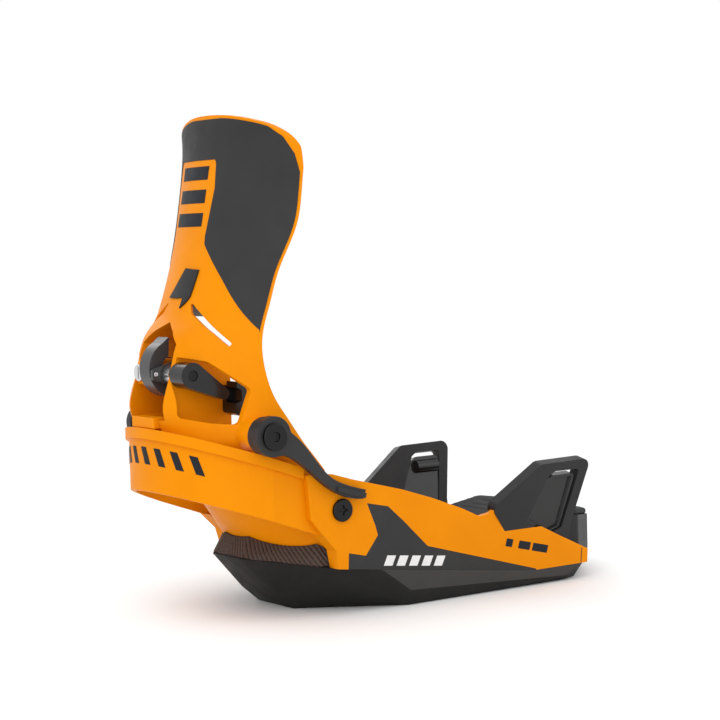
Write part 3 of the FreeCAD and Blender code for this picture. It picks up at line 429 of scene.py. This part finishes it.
def foam_pad(node, material):
    """A foam pad: its CAD solid with every edge rounded and with channels pressed into it."""
    obj = link_mesh(node + "_foam", frame["nodes"][node].data.copy(), material)
    remesh = obj.modifiers.new("voxels", "REMESH")
    remesh.mode = "VOXEL"
    remesh.voxel_size = PAD_VOXEL * MM
    smooth = obj.modifiers.new("soften", "SMOOTH")
    smooth.factor = 0.5
    smooth.iterations = PAD_SMOOTHING
    apply_modifiers(obj)
    for v in obj.data.vertices:
        press_channels(node, v.co)
    smooth_faces(obj.data)
    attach(obj, body_of(node))
    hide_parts(node)


def press_channels(node, place):
    """Moves one point of a pad into its moulded channels."""
    (spaced, levels, width), (pressed, depth), (end, run_out) = CHANNELS[node]
    at = place / MM
    share = sum(math.exp(-((at[spaced] - level) / width) ** 2) for level in levels)
    place[pressed] -= depth * MM * share * min(1.0, max(0.0, (end - abs(at[Y])) / run_out))


# ---------------------------------------------------------------- pieces laid on the surface
RAY_START = 200             # rays start this far out, clear of the binding
SHEET_ROOT = 0.12           # a sheet's underside is this far below the CAD surface
SHEET_WELD = 0.002
SHEET_SHARP_ANGLE = 50


def surface(node):
    """Search tree of a CAD node's surface, in millimetres."""
    mesh = frame["nodes"][node].data
    points = [v.co / MM for v in mesh.vertices]
    return BVHTree.FromPolygons(points, [list(p.vertices) for p in mesh.polygons])


def hit(tree, ray):
    """Place and normal where a ray, a start and a direction, meets the surface, or None."""
    start, way = ray
    place, normal = tree.ray_cast(start, way.normalized())[:2]
    return None if place is None else (place, normal)


def from_behind(y, z):
    return Vector((-RAY_START, y, z)), Vector((1, 0, 0))


def from_outer_side(x, z):
    return Vector((x, -RAY_START, z)), Vector((0, 1, 0))


def from_inner_side(x, z):
    return Vector((x, RAY_START, z)), Vector((0, -1, 0))


def from_above(x, y):
    return Vector((x, y, RAY_START)), Vector((0, 0, -1))


def around(centre_x, angle, z):
    """Ray towards an upright axis; angle 0 comes from behind and grows to the inner side."""
    a = math.radians(angle)
    out = Vector((-math.cos(a), math.sin(a), 0))
    return Vector((centre_x, 0, z)) + out * RAY_START, -out


def evenly(start, end, count):
    """The places that part the way from start to end into count equal steps, with both ends."""
    return [start + (end - start) * i / count for i in range(count + 1)]


def laid_sheet(name, rows, material, node, lift):
    """Thin closed sheet over rows of (place, normal), raised by lift, a number or a function of (i, j)."""
    height = lift if callable(lift) else lambda i, j: lift
    tall = len(rows)
    wide = len(rows[0])
    top = [p + n * height(i, j) for i, row in enumerate(rows) for j, (p, n) in enumerate(row)]
    low = [p - n * SHEET_ROOT for row in rows for p, n in row]
    count = len(top)
    faces = []
    for i in range(tall - 1):
        for j in range(wide - 1):
            a, b, c, d = i * wide + j, i * wide + j + 1, (i + 1) * wide + j + 1, (i + 1) * wide + j
            faces += [(a, b, c, d), (d + count, c + count, b + count, a + count)]
    border = list(range(wide)) + [i * wide + wide - 1 for i in range(1, tall)]
    border += [(tall - 1) * wide + j for j in range(wide - 2, -1, -1)]
    border += [i * wide for i in range(tall - 2, 0, -1)]
    for a, b in zip(border, border[1:] + border[:1]):
        faces.append((b, a, a + count, b + count))
    mesh = bpy.data.meshes.new(name)
    mesh.from_pydata([v * MM for v in top + low], [], faces)
    bm = bmesh.new()
    bm.from_mesh(mesh)
    bmesh.ops.remove_doubles(bm, verts=bm.verts, dist=SHEET_WELD * MM)
    bmesh.ops.recalc_face_normals(bm, faces=bm.faces)
    bm.to_mesh(mesh)
    bm.free()
    obj = link_mesh(name, mesh, material, SHEET_SHARP_ANGLE)
    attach(obj, body_of(node))
    return obj


def stroke(name, tree, way, corners, material, node, lift=0.22, steps=(10, 6)):
    """Sheet over a four-cornered area; way turns two surface coordinates into a ray."""
    a, b, c, d = (Vector(p) for p in corners)
    rows = []
    for s in evenly(0, 1, steps[0]):
        start, end = a * (1 - s) + b * s, d * (1 - s) + c * s
        rows.append([hit(tree, way(*(start * (1 - t) + end * t))) for t in evenly(0, 1, steps[1])])
    return laid_sheet(name, rows, material, node, lift)


def bar(start, end, lean, rise):
    """Corners of a bar: its first edge from start to end, and that edge moved by lean and rise."""
    (u0, v0), (u1, v1) = start, end
    return [start, end, (u1 + lean, v1 + rise), (u0 + lean, v0 + rise)]


# ---------------------------------------------------------------- dark film on the highback
FILM_AXIS_X = -20.0
FILM_TOP_Z = 278.55
FILM_TAB_Z = 256.0          # below this the film is two lobes
FILM_RIM = 1.8              # orange left bare along the highback's outline
FILM_LIFT = 0.3
FILM_TIP = 0.3              # a lobe's first row is this far above its tip
FILM_LEAST = 0.05           # least angle that a row of a lobe covers
LOBE_STEPS = (72, 20)       # upwards and across
TOP_STEPS = (60, 60)
HIGHBACK_TOP_Z = 280.4      # just under its highest point
# inner boundary of the film's two lobes, as y and z from the tip up to the tab
LOBE_OUTER = [(-53.6, 160.4), (-29.7, 189.3), (-12.0, 209.0), (-11.4, 214.0), (-12.6, 228.0), (-14.0, 240.0),
              (-12.4, 254.0), (-11.0, FILM_TAB_Z)]
LOBE_INNER = [(56.0, 172.0), (47.0, 190.0), (33.5, 209.0), (33.0, 214.0), (34.2, 228.0), (35.6, 240.0),
              (34.0, 254.0), (32.6, FILM_TAB_Z)]
# half-width of the highback's rounded top, as y and z
CROWN = [(61.6, 246.0), (59.4, 257.0), (54.6, 266.6), (47.6, 272.4), (35.0, 277.0), (20.0, 279.8)]
# search for the highback's outline and for places on it, in angles round the film's axis
WIDEST_ANGLE = 80.0
SEARCH_STEP = 1.0
LEAST_ANGLE = 2.0
EDGE_HALVINGS = 14
PLACE_HALVINGS = 20
EDGE_PROBE = 0.3            # inside the outline, where its distance from the axis is measured


def y_at(outline, z):
    """Where a rising outline of (y, z) points is at height z, or None above or below it."""
    for (y0, z0), (y1, z1) in zip(outline, outline[1:]):
        if z0 <= z <= z1:
            return y0 + (y1 - y0) * (z - z0) / (z1 - z0)
    return None


def film_edge(tree, z, side):
    """Angle at which the highback's outline ends at height z, on the side -1 or 1."""
    high = WIDEST_ANGLE
    while hit(tree, around(FILM_AXIS_X, side * (high - SEARCH_STEP), z)) is None and high > LEAST_ANGLE:
        high -= SEARCH_STEP
    low = high - SEARCH_STEP
    for _ in range(EDGE_HALVINGS):
        middle = (low + high) / 2
        if hit(tree, around(FILM_AXIS_X, side * middle, z)):
            low = middle
        else:
            high = middle
    return low


def angle_at(tree, y, z):
    """Angle of the ray that meets the highback at y and z."""
    side = 1 if y > 0 else -1
    low, high = 0.0, film_edge(tree, z, side)
    for _ in range(PLACE_HALVINGS):
        middle = (low + high) / 2
        found = hit(tree, around(FILM_AXIS_X, side * middle, z))
        if found is None or abs(found[0].y) < abs(y):
            low = middle
        else:
            high = middle
    return side * low


def film_limit(tree, z, side):
    """Angle where the film ends at height z: a rim short of the outline beside it, above it and round
    the crown."""
    edge = film_edge(tree, z, side)
    place = hit(tree, around(FILM_AXIS_X, side * (edge - EDGE_PROBE), z))[0]
    away = math.hypot(place.x - FILM_AXIS_X, place.y)
    above = film_edge(tree, z + FILM_RIM, side) if z + FILM_RIM < HIGHBACK_TOP_Z else 0.0
    limits = [edge - math.degrees(FILM_RIM / away), above]
    half = y_at(CROWN, z)
    if half is not None:
        limits.append(abs(angle_at(tree, side * (half - FILM_RIM), z)))
    return side * min(limits)


def film_row(tree, z, start, end, count):
    return [hit(tree, around(FILM_AXIS_X, angle, z)) for angle in evenly(start, end, count)]


def add_film(material):
    """The film's two lobes beside the bare spine, and its tab over the top."""
    tree = surface("highback_shell")
    for name, lobe, side in (("film_outer", LOBE_OUTER, -1), ("film_inner", LOBE_INNER, 1)):
        rows = []
        for z in evenly(lobe[0][1] + FILM_TIP, FILM_TAB_Z, LOBE_STEPS[0]):
            limit = film_limit(tree, z, side)
            start = angle_at(tree, y_at(lobe, min(z, FILM_TAB_Z)), z)
            start = side * min(abs(start), abs(limit) - FILM_LEAST)
            rows.append(film_row(tree, z, start, limit, LOBE_STEPS[1]))
        laid_sheet(name, rows, material, "highback_shell", FILM_LIFT)
    rows = []
    for share in evenly(1, 0, TOP_STEPS[0]):
        z = FILM_TOP_Z - (FILM_TOP_Z - FILM_TAB_Z) * share ** 2     # rows crowd where the crown curves in
        rows.append(film_row(tree, z, film_limit(tree, z, -1), film_limit(tree, z, 1), TOP_STEPS[1]))
    laid_sheet("film_top", rows, material, "highback_shell", FILM_LIFT)


# ---------------------------------------------------------------- plain marks instead of lettering
SIDE_RAYS = {"outer": from_outer_side, "inner": from_inner_side}
BACK_MARKS_Z = (219.0, 232.0, 245.0)
BACK_MARK_Y = (-6.5, 26.0)
BACK_MARK_HEIGHT = 7.5
CUP_AXIS_X = -79.4
CUP_RADIUS = 66.0
CUP_TOP_Z = 108.5           # of the heelcup's upper edge at the back
CUP_FALL = 0.36             # by which that edge falls over each millimetre towards the toe
CUP_MARKS = 7
CUP_MARK_START = -38.0
CUP_MARK_PITCH = 11.0
CUP_MARK_WIDTH = 4.5
CUP_MARK_LEAN = 3.5
CUP_MARK_DROPS = (19.5, 10.0)
PANEL_MARKS = 5
PANEL_MARK_START = (-29.0, 25.88)       # x and z
PANEL_MARK_STEP = (9.0, -1.08)
PANEL_MARK_EDGE = (6.0, -0.7)           # along a mark's lower edge
RAIL_DASHES_X = ((60.0, 65.0), (70.0, 79.0), (81.0, 93.0))
RAIL_DASH_Z = 27.0          # at the rear end of the first dash
RAIL_FALL = 0.24            # over each millimetre towards the toe
SIDE_MARK_LIFT = 0.15
SEAM_LIFT = 0.06


def on_cup(angle, drop):
    """Ray onto the heelcup at drop below its upper edge."""
    forward = CUP_RADIUS * (1 - math.cos(math.radians(angle)))
    return around(CUP_AXIS_X, angle, CUP_TOP_Z - CUP_FALL * forward - drop)


def add_back_marks(material):
    tree = surface("highback_shell")
    left, right = BACK_MARK_Y
    for k, z in enumerate(BACK_MARKS_Z):
        corners = bar((left, z), (right, z), lean=0, rise=BACK_MARK_HEIGHT)
        stroke("back_mark_%d" % k, tree, from_behind, corners, material, "highback_shell")


def add_cup_marks(material):
    tree = surface("heelcup")
    low, high = CUP_MARK_DROPS
    for k in range(CUP_MARKS):
        angle = CUP_MARK_START + CUP_MARK_PITCH * k
        corners = bar((angle, low), (angle + CUP_MARK_WIDTH, low), CUP_MARK_LEAN, high - low)
        stroke("cup_mark_%d" % k, tree, on_cup, corners, material, "heelcup")


def add_panel_marks(side, way, material):
    tree = surface("side_panel_" + side)
    for k in range(PANEL_MARKS):
        x, z = (start + step * k for start, step in zip(PANEL_MARK_START, PANEL_MARK_STEP))
        corners = bar((x, z), (x + PANEL_MARK_EDGE[0], z + PANEL_MARK_EDGE[1]), lean=2.0, rise=5.7)
        stroke("panel_mark_%s_%d" % (side, k), tree, way, corners, material, "side_panel_" + side,
               SIDE_MARK_LIFT)


def add_rail_marks(side, way, material):
    """Three dashes that follow the rail down to the toe, and the seam near the rail's front end."""
    node = "side_rail_" + side
    tree = surface(node)
    for k, ends in enumerate(RAIL_DASHES_X):
        start, end = ((x, RAIL_DASH_Z - RAIL_FALL * (x - RAIL_DASHES_X[0][0])) for x in ends)
        corners = bar(start, end, lean=0.8, rise=4.6)
        stroke("rail_mark_%s_%d" % (side, k), tree, way, corners, material, node, SIDE_MARK_LIFT)
    seam = bar((121.6, 9.9), (122.2, 9.9), lean=-0.5, rise=9.1)
    stroke("toe_seam_" + side, tree, way, seam, material, node, SEAM_LIFT)


def add_marks(materials):
    add_back_marks(materials["mark"])
    add_cup_marks(materials["mark"])
    for side, way in SIDE_RAYS.items():
        add_panel_marks(side, way, materials["pale"])
        add_rail_marks(side, way, materials["mark"])


# ---------------------------------------------------------------- moulded detail
BUMPER_AXIS_X = -44.0
BUMPER_SCAN = (28.0, 0.25, 70)          # lowest z, step and count of the rays that look for its face
BUMPER_MARGIN = 0.3
BUMPER_TOP = 0.9            # least z of the normal of its upper face
LEAST_SOLID = 12            # rays that have to meet the bumper's face for a row of ribs
RIB_END = 88                # angle that the ribs reach at most
RIB_PITCH = 3.2             # round the heel
RIB_STEPS = 8               # to each pitch
RIB_LEVELS = 16
RIB_LEAN = 2.6              # pitches by which a rib leans from its foot to its top
RIB_GROUND = 0.12
RIB_HEIGHT = 0.9
GUIDE_LIFT = 1.0
# the cleat guide's outer end as three areas of y and z corners
SPINE_GUIDE = {
    "left": [(11.4, 179.4), (2.4, 179.2), (-5.5, 195.3), (0.4, 195.8)],
    "right": [(2.4, 179.2), (-10.1, 180.2), (-11.9, 194.9), (-5.5, 195.3)],
    "leg": [(-3.8, 179.7), (-3.9, 173.8), (-8.6, 177.8), (-10.1, 180.2)],
}
COVER_RADIUS = 43.0         # of the round that the disc cover's ribs fill
COVER_RIB_PITCH = 7.5
COVER_RIB_WIDTH = 2.2
COVER_RIB_LIFT = 0.7
COVER_GAP = 2.0             # half the gap in the middle of a rib
COVER_HOLE_GAP = 9.0        # the same beside the finger hole
COVER_RIBS = range(-5, 6)
COVER_HOLE_RIBS = (4, 5)


def rib_wave(i, j):
    """Height of the ribbed skin at step i round the heel and level j."""
    turn = i / RIB_STEPS + RIB_LEAN * j / RIB_LEVELS
    return RIB_GROUND + RIB_HEIGHT * abs(math.sin(math.pi * turn)) ** 0.6


def rib_row(tree, angle):
    """One upright row of the bumper's face, from just above the seam to just below its top, or None past
    the bumper's end."""
    start, step, count = BUMPER_SCAN
    found = [hit(tree, around(BUMPER_AXIS_X, angle, start + step * k)) for k in range(count)]
    solid = [k for k, f in enumerate(found) if f is not None and f[1].z < BUMPER_TOP]
    if len(solid) < LEAST_SOLID:
        return None
    low = start + step * solid[0] + BUMPER_MARGIN
    high = start + step * solid[-1] - BUMPER_MARGIN
    row = [hit(tree, around(BUMPER_AXIS_X, angle, z)) for z in evenly(low, high, RIB_LEVELS)]
    return None if None in row else row


def add_heel_ribs(material):
    """Corrugated outer skin of the heel bumper, its ribs leaning back."""
    tree = surface("heel_bumper")
    for side, way in SIDES:
        rows = []
        for i in range(int(RIB_END / RIB_PITCH) * RIB_STEPS + 1):
            row = rib_row(tree, way * i * RIB_PITCH / RIB_STEPS)
            if row is None:
                break
            rows.append(row)
        obj = laid_sheet("heel_ribs_" + side, rows, material, "heel_bumper", rib_wave)
        # heights over the CAD surface, which the ribbed material turns into painted shade in the grooves
        heights = [tree.find_nearest(v.co / MM)[3] for v in obj.data.vertices]
        obj.data.attributes.new("rib_height", "FLOAT", "POINT").data.foreach_set("value", heights)


def add_spine_guide(material):
    """The cleat guide's outer end, an arrow-shaped insert on the highback's spine."""
    tree = surface("highback_shell")
    for name, corners in SPINE_GUIDE.items():
        stroke("spine_guide_" + name, tree, from_behind, corners, material, "highback_shell", GUIDE_LIFT,
               (12, 12))


def add_cover_ribs(material):
    """Ribs across the disc cover, each in two parts."""
    tree = surface("disc_cover")
    for k in COVER_RIBS:
        y = COVER_RIB_PITCH * k
        low = y - COVER_RIB_WIDTH / 2
        reach = math.sqrt(COVER_RADIUS ** 2 - y ** 2)
        gap = COVER_HOLE_GAP if k in COVER_HOLE_RIBS else COVER_GAP
        for part, (x0, x1) in enumerate(((-reach, -gap), (gap, reach))):
            corners = bar((x0, low), (x1, low), lean=0, rise=COVER_RIB_WIDTH)
            name = "cover_rib_%d_%d" % (k - COVER_RIBS[0], part)
            stroke(name, tree, from_above, corners, material, "disc_cover", COVER_RIB_LIFT, (12, 2))


def main():
    add_camera()
    add_studio()
    add_floor()
    materials = make_materials()
    for node, obj in frame["nodes"].items():
        obj.data.materials.clear()
        obj.data.materials.append(materials[slot_of(node)])
    add_moulded_pieces(materials)
    for node in ("highback_pad", "heel_pad", "toe_pad"):
        foam_pad(node, materials["foam"])
    add_film(materials["film"])
    add_marks(materials)
    add_heel_ribs(materials["ribs"])
    add_spine_guide(materials["charcoal"])
    add_cover_ribs(materials["charcoal"])


main()
